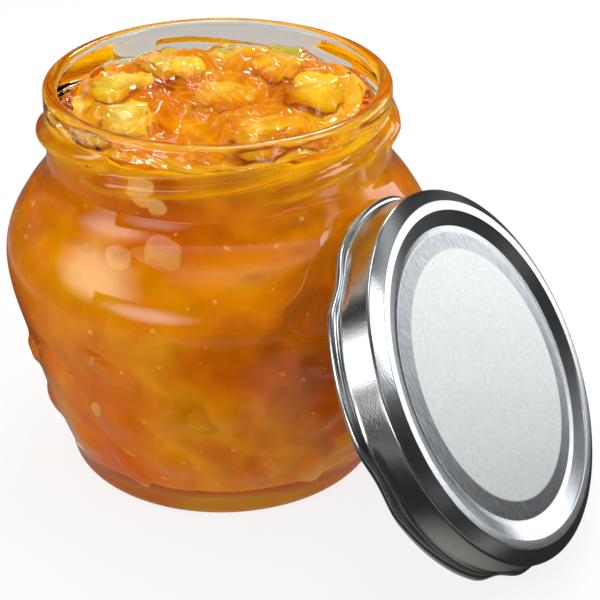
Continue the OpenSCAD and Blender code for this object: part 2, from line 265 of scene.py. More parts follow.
# %% Room
world = bpy.data.worlds.new("studio room")
bpy.context.scene.world = world
world.use_nodes = True
room = world.node_tree
room.nodes.clear()
direction = add_node(room, "ShaderNodeTexCoord").outputs["Generated"]
height = add_node(room, "ShaderNodeSeparateXYZ", {"Vector": direction}).outputs["Z"]
half_up = map_range(room, height, -1.0, 1.0)
mirrored_room = colour_steps(room, half_up, [
    (0.0, "#404040"), (0.48, "#484848"), (0.54, "#747474"), (0.59, "#383838"), (0.68, "#2c2c2c"),
    (0.78, "#343434"), (0.82, "#ffffff"), (0.88, "#505050"), (0.95, "#383838"), (1.0, "#c0c0c0")])
room_through = colour_steps(room, half_up, [
    (0.0, "#f4f4f4"), (0.5, "#e0e0e0"), (0.62, "#c8c6c2"), (1.0, "#d0d0d0")])
ROOM_LIGHT = (0.74, 0.745, 0.75, 1)
WHITE = linear("#ffffff")
room_paths = add_node(room, "ShaderNodeLightPath")
room_shown = ROOM_LIGHT
for ray, colour in (("Is Glossy Ray", mirrored_room), ("Is Transmission Ray", room_through),
                    ("Is Camera Ray", WHITE)):
    room_shown = mix_colours(room, room_paths.outputs[ray], room_shown, colour)
glow = add_node(room, "ShaderNodeBackground", {"Color": room_shown, "Strength": 1.0})
add_node(room, "ShaderNodeOutputWorld", {"Surface": glow.outputs["Background"]})
print("nodes in the room:", len(room.nodes))

# %% [markdown]
# Four lamps do the lighting. Places and sizes are in millimetres, and each lamp is turned towards
# the point that it lights. The panel behind is what the lid's flat panel reflects, so it makes the
# panel bright.

# %% Lamps
def turn_towards(thing, place, aim):
    thing.location = Vector(place) * MM
    thing.rotation_euler = ((Vector(aim) - Vector(place)) * MM).to_track_quat("-Z", "Y").to_euler()


def soft_lamp(name, place, aim, size, power):
    data = bpy.data.lights.new(name, "AREA")
    data.shape = "RECTANGLE"
    data.size, data.size_y = size[0] * MM, size[1] * MM
    data.energy = power
    lamp = bpy.data.objects.new(name, data)
    bpy.context.scene.collection.objects.link(lamp)
    turn_towards(lamp, place, aim)


soft_lamp("window right", (300, 60, 330), (0, 0, 60), (110, 200), 0.32)
soft_lamp("panel above", (0, 60, 520), (0, 0, 60), (110, 260), 0.42)
soft_lamp("panel behind", (300, 390, 130), (60, 0, 40), (300, 230), 0.5)
soft_lamp("small key behind", (-90, 300, 330), (0, 0, 85), (70, 50), 0.3)

# %% [markdown]
# Two lit cloths stand in front. They fade towards their edges, so that their images in the glass
# are soft, as the broad highlight on the photographed jar is. The camera doesn't see them.

# %% Lit cloths
# Diffuser cloth with a lamp behind its middle.
lit_cloth, tree = new_material("lit diffuser cloth")
from_middle = add_node(tree, "ShaderNodeVectorMath", {0: object_place(tree)}, operation="LENGTH")
falling = map_range(tree, from_middle.outputs["Value"], 0.5, 0.08, high=4.8, curve="SMOOTHSTEP")
cloth = add_node(tree, "ShaderNodeEmission", {"Color": linear("#fffaf4"), "Strength": falling})
finish_material(tree, cloth.outputs["Emission"])


def hang_cloth(name, place, aim, size):
    bpy.ops.mesh.primitive_plane_add(size=1, location=(0, 0, 0))
    made = bpy.context.object
    made.name = name
    made.scale = (size[0] * MM, size[1] * MM, 1)
    turn_towards(made, place, aim)
    made.visible_camera = False
    made.data.materials.append(lit_cloth)


hang_cloth("diffuser left", (-300, -360, 205), (0, 0, 45), (560, 400))
hang_cloth("low cloth", (-60, -420, 78), (0, 0, 25), (470, 160))
print("cloth material:", lit_cloth.name)

# %% [markdown]
# To the camera the table is white with a light shadow. Reflections find it dim, with a few lighter
# zones of painted light as under studio lamps, and what shows through glass is a soft grey. It lies
# a hair below the jar: glass touches a table at a few points only, and the air between keeps the
# foot bright with jam.

# %% Table
AIR_GAP = 0.1 * MM
LIT_SHARE = 0.82
bpy.ops.mesh.primitive_plane_add(size=4, location=(0, 0, 0))
floor = bpy.context.object
floor.name = "floor"
floor.location.z = -AIR_GAP
# A matt white table.
white_table, tree = new_material("white table")
on_table = object_place(tree)
from_jar = add_node(tree, "ShaderNodeVectorMath", {0: on_table}, operation="LENGTH").outputs["Value"]


def glow_of(shades):
    return add_node(tree, "ShaderNodeEmission", {"Color": shades, "Strength": 1.0}).outputs["Emission"]


def add_painted_light_pool(shades, place, reach, colour):
    """A soft painted pool of light on the table, as wide as its reach."""
    away = add_node(tree, "ShaderNodeVectorMath", {0: on_table, 1: place}, operation="DISTANCE")
    share = map_range(tree, away.outputs["Value"], reach, 0.2 * reach, curve="SMOOTHSTEP")
    return mix_colours(tree, share, shades, linear(colour))


matt = add_node(tree, "ShaderNodeBsdfDiffuse", {"Color": linear("#f4f4f4")}).outputs["BSDF"]
to_camera = mix_shaders(tree, LIT_SHARE, matt, glow_of(WHITE))
# Painted reflection: what glossy rays find on the table, lighter near the jar and in a ring further out, dim
# elsewhere.
mirrored_table = colour_steps(tree, map_range(tree, from_jar, 40 * MM, 340 * MM), [
    (0.0, "#8c8c8c"), (0.1, "#343434"), (0.3, "#383838"), (0.42, "#a0a0a0"), (0.52, "#606060"),
    (1.0, "#343434")])
# Painted light: pools of light on the table below the lid and at the jar's left, that only reflections see.
# The skirt and the glass show them.
mirrored_table = add_painted_light_pool(mirrored_table, (64 * MM, -46 * MM, 0), 34 * MM, "#b8b4a8")
mirrored_table = add_painted_light_pool(mirrored_table, (-62 * MM, -95 * MM, 0), 90 * MM, "#d0bc90")
table_through = colour_steps(tree, map_range(tree, from_jar, 60 * MM, 160 * MM), [
    (0.0, "#f0f0ee"), (1.0, "#c4c2be")])
table_paths = add_node(tree, "ShaderNodeLightPath")
table_shown = matt
for ray, look in (("Is Glossy Ray", glow_of(mirrored_table)), ("Is Transmission Ray", glow_of(table_through)),
                  ("Is Camera Ray", to_camera)):
    table_shown = mix_shaders(tree, table_paths.outputs[ray], table_shown, look)
finish_material(tree, table_shown)
floor.data.materials.append(white_table)
print("nodes in the table's material:", len(tree.nodes))

# %% [markdown]
# The jar is pressed and blown flint glass, about 2.6 mm thick. Its outline is the one that the
# model gives: heel, tapering body, full belly, concave shoulder and straight neck. A fine mesh is
# worth its price here, because glass bends every facet into view.

# %% Outline of the jar
low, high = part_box("glass_jar")
JAR_H = high.z
BELLY_R = -low.x
NECK_R = 38.8 * MM
MOUTH_R = 35.5 * MM
SHOULDER_Z = JAR_H - 17 * MM
FOOT_R = 36.7 * MM
WALL = 2.6 * MM
BASE = 4.5 * MM
JAM_LEVEL = JAR_H - 7.2 * MM
LIP_ROUND, HEEL_ROUND, FLOOR_ROUND = 1.5 * MM, 3.5 * MM, 5 * MM
# The bearing ring's width, the rise of the floor to its middle, and the push-up under it.
RING, FLOOR_RISE, PUSH_UP = 7 * MM, 1.2 * MM, 2.6 * MM
NECK_BLEND = 3 * MM
BODY_SHARES = [(0.066, 0.757), (0.146, 0.800), (0.245, 0.851), (0.366, 0.900), (0.488, 0.942),
               (0.610, 0.987), (0.708, 1.000), (0.793, 0.970), (0.879, 0.894), (0.945, 0.818)]
body_points = [(r * BELLY_R, z * SHOULDER_Z) for z, r in BODY_SHARES] + [(NECK_R, SHOULDER_Z)]
body_curve = smooth_curve(body_points, 9)
outer_side = (rounded_corner((FOOT_R - RING, 0), (FOOT_R, 0), body_curve[0], HEEL_ROUND, 8) + body_curve
              + in_steps((NECK_R, SHOULDER_Z), (NECK_R, JAR_H - LIP_ROUND - 0.3 * MM), 38)
              + rounded_corner((NECK_R, 0), (NECK_R, JAR_H), (0, JAR_H), LIP_ROUND, 8))
wall_inside = [p for p in beside(body_curve[::-1], WALL) if p[1] > BASE + FLOOR_ROUND][::-1]
floor_corner = rounded_corner((0, BASE + FLOOR_RISE), (FOOT_R - WALL, BASE), wall_inside[0], FLOOR_ROUND, 8)
inner_side = ([(0, BASE + FLOOR_RISE), (14 * MM, BASE + 1.0 * MM)] + floor_corner + wall_inside
              + [(MOUTH_R, SHOULDER_Z + NECK_BLEND)])
underside = [(0, PUSH_UP), (12 * MM, PUSH_UP), (22 * MM, 2.5 * MM), (23.4 * MM, 2.2 * MM),
             (FOOT_R - RING - 0.6 * MM, 0.15 * MM), (FOOT_R - RING, 0)]
print("outline points:", len(outer_side), "outside,", len(inner_side), "inside")

# %% [markdown]
# Six thread starts climb the neck, each a sixth of a turn long. On the real jar they are pressed
# with the neck and melt into it, so they are raised from the spun neck itself and not laid on it.

# %% Height of the threads
THREAD_LOW, THREAD_RISE, THREAD_OUT, THREAD_W = JAR_H - 11.8 * MM, 5 * MM, 2 * MM, 3 * MM
THREAD_PHASE = math.radians(255)
STARTS = 6
RUN_OUT_SHARE = 0.1
FADE_RATE = 4.5


def thread_height(angle, z):
    """How far the glass stands out of the neck at this angle and height."""
    best = 0.0
    turn = 2 * math.pi / STARTS
    u = ((angle - THREAD_PHASE) % turn) / turn
    for along in (u, u - 1, u + 1):
        if not -0.12 <= along <= 1.12:
            continue
        rising = max(0, (along + RUN_OUT_SHARE) * FADE_RATE)
        falling = max(0, (1 + RUN_OUT_SHARE - along) * FADE_RATE)
        fade = min(1, rising, falling) ** 0.8
        across = (z - THREAD_LOW - THREAD_RISE * along) / (THREAD_W * (0.5 + 0.25 * fade))
        best = max(best, THREAD_OUT * fade * max(0, 1 - across * across) ** 0.8)
    return best


print("a thread's middle stands out", round(thread_height(THREAD_PHASE + math.pi / STARTS,
                                                          THREAD_LOW + THREAD_RISE / 2) / MM, 1), "mm")

# %% [markdown]
# A wreath of berries and leaves is pressed into the body, and repeats six times round it. Each
# berry is a cap of a ball. A leaf is the overlap of two circles, with a vein down its middle.

# %% Height of the pressed wreath
RELIEF_OUT = 1.1 * MM
RELIEF_REACH = 12 * MM
REPEATS = 6
# Each row: place along the repeat, height up the body, then a berry's ball or a leaf's turn.
BERRIES = [(0, 0.45, 0.30), (0.42, 0.36, 0.24), (0.70, 0.22, 0.17), (0.12, 0.20, 0.20)]
LEAVES = [(0.40, 0.57, 65), (0.74, 0.42, 150), (0.43, 0.16, 30)]
LEAF_CUT, LEAF_APART = 0.19 * BELLY_R, 0.13 * BELLY_R
LEAF_EDGE, VEIN_W, VEIN_SHARE = 1.2 * MM, 0.5 * MM, 0.35


def relief_height(angle, z, r):
    """How far the wreath stands out of the body at this angle, height and radius."""
    best = 0.0
    for k, (place, height, share) in enumerate(BERRIES + LEAVES):
        turn = (angle * REPEATS / (2 * math.pi) - place + 0.5) % 1 - 0.5
        s, t = turn * 2 * math.pi / REPEATS * r, z - height * SHOULDER_Z
        if abs(s) > RELIEF_REACH or abs(t) > RELIEF_REACH:
            continue
        leaf = k >= len(BERRIES)
        ball = 2 * LEAF_CUT if leaf else share * BELLY_R
        out = RELIEF_OUT - (s * s + t * t) / (2 * ball) + s * s / (2 * r)
        if leaf:
            a = math.radians(share)
            along, across = s * math.sin(a) - t * math.cos(a), s * math.cos(a) + t * math.sin(a)
            inside = LEAF_CUT - math.hypot(along, abs(across) + LEAF_APART)
            vein = 1 - VEIN_SHARE * math.exp(-(across / VEIN_W) ** 2)
            out = max(0, out) * min(1, max(0, inside / LEAF_EDGE)) * vein
        best = max(best, out)
    return best


print("wreath:", len(BERRIES), "berries and", len(LEAVES), "leaves to a repeat")

# %% [markdown]
# The outline is spun, and then the threads and the wreath are raised from it. Which way each point
# faces is noted first, because Blender works the normals out afresh after every move.

# %% Jar
jar = turned_form("glass_jar_clear", underside + outer_side
                  + rounded_corner((NECK_R, JAR_H), (MOUTH_R, JAR_H), (MOUTH_R, 0), LIP_ROUND, 8)
                  + inner_side[::-1], 288)
facing_out = [v.normal.x * v.co.x + v.normal.y * v.co.y > 0 for v in jar.data.vertices]
for v in jar.data.vertices:
    r, z = math.hypot(v.co.x, v.co.y), v.co.z
    angle = math.atan2(v.co.y, v.co.x)
    out = 0.0
    if r > NECK_R - 0.05 * MM and SHOULDER_Z < z < JAR_H - LIP_ROUND:
        out = thread_height(angle, z)
    elif facing_out[v.index] and HEEL_ROUND < z < SHOULDER_Z:
        out = relief_height(angle, z, r)
    v.co.x *= (r + out) / max(r, MM)
    v.co.y *= (r + out) / max(r, MM)
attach(jar, "jar")
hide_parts("glass_jar")
print("jar faces:", len(jar.data.polygons))

# %% [markdown]
# Clear flint glass has an IOR of about 1.52 and no roughness to speak of. A renderer's shadow rays
# stop at glass, so the jam behind it would lie in the dark. Letting shadow rays pass is the
# usual cure. Where jelly wets the glass there is no air between them, so that face neither bends
# nor reflects light.

# %% Glass
def lets_lamps_through(tree, shader, tint):
    passing = add_node(tree, "ShaderNodeBsdfTransparent", {"Color": tint}).outputs["BSDF"]
    path = add_node(tree, "ShaderNodeLightPath")
    return mix_shaders(tree, path.outputs["Is Shadow Ray"], shader, passing)


# Flint glass. Pressed glass is a little uneven over distances of about 12 mm.
flint_glass, tree = new_material("flint glass")
uneven = relief_of(tree, mottle(tree, object_place(tree), 85.0, detail=1.0), 0.12, 0.4 * MM)
clear = add_node(tree, "ShaderNodeBsdfPrincipled", {
    "Base Color": linear("#f6fbf9"), "Roughness": 0.0, "IOR": 1.52, "Transmission Weight": 1.0,
    "Normal": uneven})
finish_material(tree, lets_lamps_through(tree, clear.outputs["BSDF"], linear("#f2f6f4")))
jar.data.materials.append(flint_glass)

# The same glass where jelly lies on it.
wetted_glass, tree = new_material("glass wetted by jelly")
unseen = add_node(tree, "ShaderNodeBsdfPrincipled", {
    "Base Color": WHITE, "Roughness": 0.0, "IOR": 1.0, "Transmission Weight": 1.0,
    "Specular IOR Level": 0.0})
finish_material(tree, lets_lamps_through(tree, unseen.outputs["BSDF"], WHITE))
jar.data.materials.append(wetted_glass)
for face in jar.data.polygons:
    c, n = face.center, face.normal
    inward = n.x * c.x + n.y * c.y < -0.2 * math.hypot(c.x, c.y) or (n.z > 0.5 and c.z < 2 * BASE)
    if inward and BASE - 0.1 * MM < c.z < JAM_LEVEL:
        face.material_index = 1
print("wetted faces:", sum(f.material_index for f in jar.data.polygons))

# %% [markdown]
# The jelly touches the glass everywhere. In a renderer two faces in one place flicker, so the
# jelly's side reaches a little way into the glass. Its top is heaped by spoon and knife: slow
# waves, broad lumps over the fruit, and small wet folds between.

# %% Height of the jelly's top
surface_fruit = [f"fruit_piece_{k}" for k in range(1, 8)]
deep_fruit = [f"fruit_piece_{k}" for k in range(8, 17)]
fruit_boxes = {name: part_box(name) for name in surface_fruit + deep_fruit}
# Each wave: repeats across and along the mouth, start in degrees, and share of the height.
WAVES = [(0.5, 1.1, 130, 0.5), (1.3, -0.5, 310, 0.5), (1.7, 1.5, 220, 0.3), (-1.6, 1.4, 60, 0.3)]
WAVE_H, LUMP_H, FOLD_H = 1.3 * MM, 2.0 * MM, 1.5 * MM
LUMP_SPAN, FOLD_SPAN = 9 * MM, 2.6 * MM
JELLY_OVER_FRUIT = 0.9 * MM
FRUIT_REACH_SHARE, FRUIT_EASE_SHARE = 1.15, 1.5


def heap(x, y):
    """Height of the jelly over a point."""
    z = JAM_LEVEL
    for across, along, start, share in WAVES:
        turns = (across * x + along * y) / MOUTH_R
        z += WAVE_H * share * math.sin(2 * math.pi * turns + math.radians(start))
    for name in surface_fruit:
        a, b = fruit_boxes[name]
        centre, size = (a + b) / 2, (b - a) / 2
        away = math.hypot((x - centre.x) / (size.x * FRUIT_REACH_SHARE),
                          (y - centre.y) / (size.y * FRUIT_REACH_SHARE))
        if away < FRUIT_EASE_SHARE:
            rise = max(0, 1 - (away / FRUIT_EASE_SHARE) ** 2)
            z = max(z, z + (b.z + JELLY_OVER_FRUIT - z) * min(1, rise * 1.7))
    p = Vector((x, y, 0))
    lumps = noise.fractal(p / LUMP_SPAN, 0.9, 2.1, 2) * LUMP_H
    # Strokes of the spoon: ridges that run across, bent by a slow wave.
    bent = 2 * noise.noise(p / (10 * MM))
    q = Vector((x / (7 * MM) + noise.noise(p / (12 * MM)), (y + 0.4 * x) / FOLD_SPAN + bent, 3))
    strokes = (0.5 - abs(noise.noise(q))) * FOLD_H
    return z + lumps + strokes


print("jelly's middle stands at", round(heap(0, 0) / MM, 1), "mm")

# %% [markdown]
# The jelly's outline follows the inside of the jar. Near the glass its top settles to an even
# height, a little up the wall, as anything wet does.

# %% Jelly
INTO_GLASS = 0.15 * MM
CLIMB = 0.9 * MM
jelly_side = beside(inner_side[2:-1], INTO_GLASS)
jelly_wall_r = MOUTH_R + INTO_GLASS
neck_side = in_steps((jelly_wall_r, SHOULDER_Z + NECK_BLEND), (jelly_wall_r, JAM_LEVEL - 0.6 * MM), 10)
top_rows = [(jelly_wall_r * (1 - k / 60), JAM_LEVEL) for k in range(61)]
jelly_bottom = [(0, inner_side[0][1] - INTO_GLASS)]
jelly = turned_form("jam_jelly", jelly_bottom + jelly_side + neck_side + top_rows, 240)
for v in jelly.data.vertices:
    if v.co.z > JAM_LEVEL - 0.3 * MM:
        at_wall = (math.hypot(v.co.x, v.co.y) / jelly_wall_r) ** 10
        heaped = heap(v.co.x, v.co.y)
        settled = JAM_LEVEL + CLIMB + 0.5 * (heaped - JAM_LEVEL)
        v.co.z = heaped * (1 - at_wall) + settled * at_wall
print("jelly faces:", len(jelly.data.polygons))

# %% [markdown]
# Air pockets lie against the glass, flattened by it, and small bubbles are scattered in the jelly
# near it. They are balls with their faces turned inwards, joined into the jelly's own mesh, so
# that the renderer knows the air inside them is not jelly.

# %% Bubbles
# Each pocket: angle in degrees, share of the jam's height, and radius in millimetres.
POCKETS = [(266, 0.77, 3.0), (280, 0.79, 4.0), (271, 0.93, 3.1), (276, 0.91, 2.3), (256, 0.32, 1.8)]
POCKET_FLAT = 0.35
BUBBLES = 150
BUBBLE_RADII = [0.25, 0.3, 0.4, 0.6]
dice = random.Random(7)


def inner_radius(z):
    """Radius of the jar's inside at a height."""
    for (r0, z0), (r1, z1) in zip(inner_side[1:], inner_side[2:]):
        if z0 <= z <= z1:
            return r0 + (r1 - r0) * (z - z0) / max(z1 - z0, 1e-9)
    return MOUTH_R


def inside_glass(angle, z, depth):
    """The point at this angle and height, so deep behind the glass."""
    r = inner_radius(z) - depth
    return Vector((r * math.cos(math.radians(angle)), r * math.sin(math.radians(angle)), z))


def add_balls(places, fineness):
    """One mesh of many balls, their faces inwards. Each place is (centre, radius)."""
    clear_selection()
    centre, radius = places[0]
    bpy.ops.mesh.primitive_ico_sphere_add(subdivisions=fineness, radius=radius, location=centre)
    bpy.ops.object.transform_apply(location=True, rotation=True, scale=True)
    made = bpy.context.object
    bpy.ops.object.mode_set(mode="EDIT")
    for centre, radius in places[1:]:
        bpy.ops.mesh.primitive_ico_sphere_add(subdivisions=fineness, radius=radius, location=centre)
    bpy.ops.mesh.select_all(action="SELECT")
    bpy.ops.mesh.flip_normals()
    bpy.ops.object.mode_set(mode="OBJECT")
    bpy.ops.object.shade_smooth()
    return made


pocket_places = [(inside_glass(a, z * JAM_LEVEL, r * POCKET_FLAT * MM + 0.5 * MM), r * MM)
                 for a, z, r in POCKETS]
bubble_places = []
for k in range(BUBBLES):
    angle = dice.uniform(190, 390)
    z = dice.uniform(0.1, 0.9) * JAM_LEVEL
    radius = dice.choice(BUBBLE_RADII) * MM
    bubble_places.append((inside_glass(angle, z, dice.uniform(0.9, 1.7) * MM), radius))
pockets = add_balls(pocket_places, 5)
each = len(pockets.data.vertices) // len(POCKETS)
for v in pockets.data.vertices:
    centre = pocket_places[v.index // each][0]
    angle = math.radians(POCKETS[v.index // each][0])
    out = Vector((math.cos(angle), math.sin(angle), 0))
    arm = (v.co - centre) * (1 + 0.45 * noise.noise((v.co - centre) / (4 * MM) + centre * 1000))
    v.co = centre + arm - out * arm.dot(out) * (1 - POCKET_FLAT)
balls = add_balls(bubble_places, 2)
print("pocket and bubble faces:", len(pockets.data.polygons) + len(balls.data.polygons))

# %% [markdown]
# Two marks are kept on the points of the joined mesh: what belongs to a bubble, and what lies
# against the glass. The material reads them.

# %% Joined jelly
for piece, share in ((pockets, 1.0), (balls, 1.0), (jelly, 0.0)):
    marks = piece.data.attributes.new("of_bubble", "FLOAT", "POINT")
    for mark in marks.data:
        mark.value = share
clear_selection()
balls.select_set(True)
pockets.select_set(True)
jelly.select_set(True)
bpy.context.view_layer.objects.active = jelly
bpy.ops.object.join()
marks = jelly.data.attributes.new("against_glass", "FLOAT", "POINT")
for v, mark in zip(jelly.data.vertices, marks.data):
    outside = math.hypot(v.co.x, v.co.y) > inner_radius(v.co.z) + 0.5 * INTO_GLASS
    mark.value = 1.0 if outside or v.co.z < BASE + FLOOR_RISE - 0.05 * MM else 0.0
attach(jelly, "jar")
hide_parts("jam")
print("jelly faces with bubbles:", len(jelly.data.polygons))

# %% [markdown]
# Set jelly is a clear gel that takes the blue out of light and a little of the green, so it turns
# from lemon where it is thin to deep amber where it is thick. At the glass it has no surface of
# its own: light goes straight on. A bubble is lined with a thin pale coat that light partly passes,
# a painted sheen that stands in for the bright shine of air in jelly.

# %% Jelly material
# Set fruit jelly with a rippled, wet skin.
fruit_jelly, tree = new_material("set fruit jelly")
where = object_place(tree)
ripple = relief_of(tree, mottle(tree, where, 260.0, detail=2.0), 0.4, 0.5 * MM)
gel = add_node(tree, "ShaderNodeBsdfPrincipled", {
    "Base Color": linear("#fffae8"), "Roughness": 0.04, "IOR": 1.38, "Transmission Weight": 1.0,
    "Normal": ripple})
wet_skin = lets_lamps_through(tree, gel.outputs["BSDF"], linear("#fffcf0"))
straight_on = add_node(tree, "ShaderNodeBsdfTransparent", {"Color": WHITE}).outputs["BSDF"]
at_glass = add_node(tree, "ShaderNodeAttribute", attribute_name="against_glass").outputs["Fac"]
skin = mix_shaders(tree, at_glass, wet_skin, straight_on)
# Painted sheen: each bubble gets a pale, partly clear coat, so that it shines pale.
SHEEN_OPEN_SHARE = 0.78
painted_sheen = colour_steps(tree, mottle(tree, where, 500.0, detail=2.0), [(0.3, "#fcd8a0"), (0.7, "#fff4dc")])
sheen_lining = add_node(tree, "ShaderNodeBsdfPrincipled", {"Base Color": painted_sheen, "Roughness": 0.2, "IOR": 1.38})
open_part = add_node(tree, "ShaderNodeBsdfTransparent", {"Color": linear("#fff4dc")})
thin_painted_sheen = mix_shaders(tree, SHEEN_OPEN_SHARE, sheen_lining.outputs["BSDF"], open_part.outputs["BSDF"])
of_bubble = add_node(tree, "ShaderNodeAttribute", attribute_name="of_bubble").outputs["Fac"]
depth = add_node(tree, "ShaderNodeVolumeAbsorption", {"Color": linear("#fff71c"), "Density": 300.0})
finish_material(tree, mix_shaders(tree, of_bubble, skin, thin_painted_sheen), depth.outputs["Volume"])
jelly.data.materials.append(fruit_jelly)
print("nodes in the jelly's material:", len(tree.nodes))

# %% [markdown]
# Behind a few millimetres of clear jelly the jar is full of crushed fruit. One lumpy mass stands
# for it. It has sunk a little, and in the neck it lies nearer the back. Round a large piece of
# fruit it gives way.

# %% Crushed fruit inside the jelly
PULP_DEPTH = 3.5 * MM
PULP_TOP = JAM_LEVEL - 4.0 * MM
PULP_LUMP, PULP_SPAN = 2.2 * MM, 8 * MM
PULP_SUNK, SUNK_BELOW = 2.2 * MM, 10 * MM
EDGE_START, EDGE_W, EDGE_RISE = 23 * MM, 8 * MM, 2.6 * MM
LEAN_START, LEAN_SPAN, LEAN_BACK = 60 * MM, 15 * MM, 1.8 * MM
BACKWARDS = (-0.47, 0.88)
HOLLOW, HOLLOW_SHARE = 2.2 * MM, 0.75
pulp_r = MOUTH_R - PULP_DEPTH
pulp_side = beside(inner_side[2:-1], -PULP_DEPTH)
pulp = turned_form("jam_pulp", [(0, BASE + PULP_DEPTH)] + pulp_side[1:]
                   + in_steps(pulp_side[-1], (pulp_r, PULP_TOP - 1 * MM), 6)
                   + [(pulp_r * (1 - k / 30), PULP_TOP) for k in range(31)], 160)


def gives_way(point):
    """How far the pulp draws back from the pieces of fruit near a point."""
    back = 0.0
    for name in deep_fruit:
        a, b = fruit_boxes[name]
        reach = (b - a) * HOLLOW_SHARE
        gap = point - (a + b) / 2
        away = math.sqrt((gap.x / reach.x) ** 2 + (gap.y / reach.y) ** 2 + (gap.z / reach.z) ** 2)
        back += HOLLOW * max(0, 1 - away * away)
    return back


for v in pulp.data.vertices:
    on_top = v.co.z > PULP_TOP - 0.2 * MM
    push = noise.fractal(v.co / PULP_SPAN, 0.8, 2.0, 4 if on_top else 2) * PULP_LUMP
    r = max(math.hypot(v.co.x, v.co.y), 1 * MM)
    if on_top:
        at_edge = min(1, max(0, (r - EDGE_START) / EDGE_W))
        v.co.z += push * (1 - 0.7 * at_edge) + EDGE_RISE * at_edge
    else:
        push -= gives_way(v.co)
        v.co.x *= 1 + push / r
        v.co.y *= 1 + push / r
    v.co.z -= PULP_SUNK * max(0, 1 - (v.co.z - BASE) / SUNK_BELOW)
    leaning = max(0, min(1, (v.co.z - LEAN_START) / LEAN_SPAN)) * LEAN_BACK
    v.co.x += BACKWARDS[0] * leaning
    v.co.y += BACKWARDS[1] * leaning
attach(pulp, "jar")
print("pulp faces:", len(pulp.data.polygons))

# %% [markdown]
# Light enters the crushed fruit and comes out again nearby, so it glows like a peach's flesh. It is
# deeper in colour at the bottom, where the fruit lies thick, and palest at the open top. In the
# neck it gets light from every side, so shade is painted there: it is a little darker to make up
# for it.

# %% Crushed fruit material
# Crushed fruit in patches of light and deep orange.
crushed_fruit, tree = new_material("crushed fruit")
where = object_place(tree)
patches = mottle(tree, where, 34.0, detail=2.0, roughness=0.5)
bright_shades = colour_steps(tree, patches, [
    (0.3, "#d88004"), (0.45, "#e49008"), (0.58, "#eca418"), (0.7, "#f4bc48")])
deep_shades = colour_steps(tree, patches, [
    (0.3, "#d86004"), (0.5, "#e88408"), (0.62, "#f2a416"), (0.75, "#f8c038")])
top_shades = colour_steps(tree, patches, [
    (0.3, "#f0b00c"), (0.45, "#f4c018"), (0.58, "#f8d444"), (0.7, "#fce890")])
level = add_node(tree, "ShaderNodeSeparateXYZ", {"Vector": where}).outputs["Z"]
side_shades = mix_colours(tree, map_range(tree, level, 10 * MM, 65 * MM), deep_shades, bright_shades)
all_shades = mix_colours(tree, map_range(tree, level, 77 * MM, 82 * MM), side_shades, top_shades)
# Painted shade: a darker multiply in the neck makes up for the light it gets from every side.
neck_painted_shade = mix_colours(tree, 1.0, all_shades, linear("#ece4d8"), blend_type="MULTIPLY")
shades = mix_colours(tree, map_range(tree, level, 60 * MM, 70 * MM), all_shades, neck_painted_shade)
flesh = add_node(tree, "ShaderNodeBsdfPrincipled", {
    "Base Color": shades, "Roughness": 0.5, "IOR": 1.4, "Specular IOR Level": 0.0,
    "Subsurface Weight": 0.8, "Subsurface Radius": (1.0, 0.75, 0.3), "Subsurface Scale": 3 * MM})
finish_material(tree, flesh.outputs["BSDF"])
pulp.data.materials.append(crushed_fruit)
print("nodes in the crushed fruit's material:", len(tree.nodes))

# %% [markdown]
# The larger pieces of fruit keep the places that the model gives them. Each starts from a copy of
# its block, is remeshed evenly, and is pushed in and out a little so that no two are alike.

# %% Shape of the fruit pieces
VOXEL = 0.7 * MM
SOFTEN_ROUNDS = 12
BROAD_SPAN, BROAD_H = 10 * MM, 1.4 * MM
FINE_SPAN, FINE_H = 3 * MM, 0.25 * MM


def detailed_fruit(node, finish):
    source = frame["nodes"][node]
    piece = source.copy()
    piece.data = source.data.copy()
    piece.parent = None
    for key in list(piece.keys()):
        del piece[key]
    piece.name = piece.data.name = node + "_flesh"
    bpy.context.scene.collection.objects.link(piece)
    pick(piece)
    bpy.ops.object.mode_set(mode="EDIT")
    bpy.ops.mesh.select_all(action="SELECT")
    bpy.ops.mesh.remove_doubles(threshold=0.01 * MM)
    bpy.ops.mesh.normals_make_consistent(inside=False)
    bpy.ops.object.mode_set(mode="OBJECT")
    remesh = piece.modifiers.new("even", "REMESH")
    remesh.mode = "VOXEL"
    remesh.voxel_size = VOXEL
    bpy.ops.object.modifier_apply(modifier="even")
    soften = piece.modifiers.new("soften", "SMOOTH")
    soften.iterations = SOFTEN_ROUNDS
    bpy.ops.object.modifier_apply(modifier="soften")
    for v, n in [(v, v.normal.copy()) for v in piece.data.vertices]:
        v.co += n * (noise.noise(v.co / BROAD_SPAN) * BROAD_H + noise.noise(v.co / FINE_SPAN) * FINE_H)
    bpy.ops.object.shade_smooth()
    piece.data.materials.clear()
    piece.data.materials.append(finish)
    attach(piece, "jar")
    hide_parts(node)


print("pieces to shape:", len(fruit_boxes))

# %% [markdown]
# Fruit flesh is fibrous, so its noise is drawn out and bumped. The pieces in the surface are pale
# or ripe and let light in deeply. Those in the jelly are plain, because the jelly colours them.

# %% Fruit pieces
def fruit_material(name, steps, scale, clear, soft_light):
    made, tree = new_material(name)
    fibres = mottle(tree, object_place(tree), scale, detail=4.0, distortion=1.2)
    flesh = add_node(tree, "ShaderNodeBsdfPrincipled", {
        "Base Color": colour_steps(tree, fibres, steps), "Roughness": 0.3, "IOR": 1.4,
        "Specular IOR Level": 0.1, "Transmission Weight": clear, "Subsurface Weight": soft_light,
        "Subsurface Radius": (1.0, 0.8, 0.4), "Subsurface Scale": 5 * MM,
        "Normal": relief_of(tree, fibres, 0.2, 0.4 * MM)})
    finish_material(tree, flesh.outputs["BSDF"])
    return made


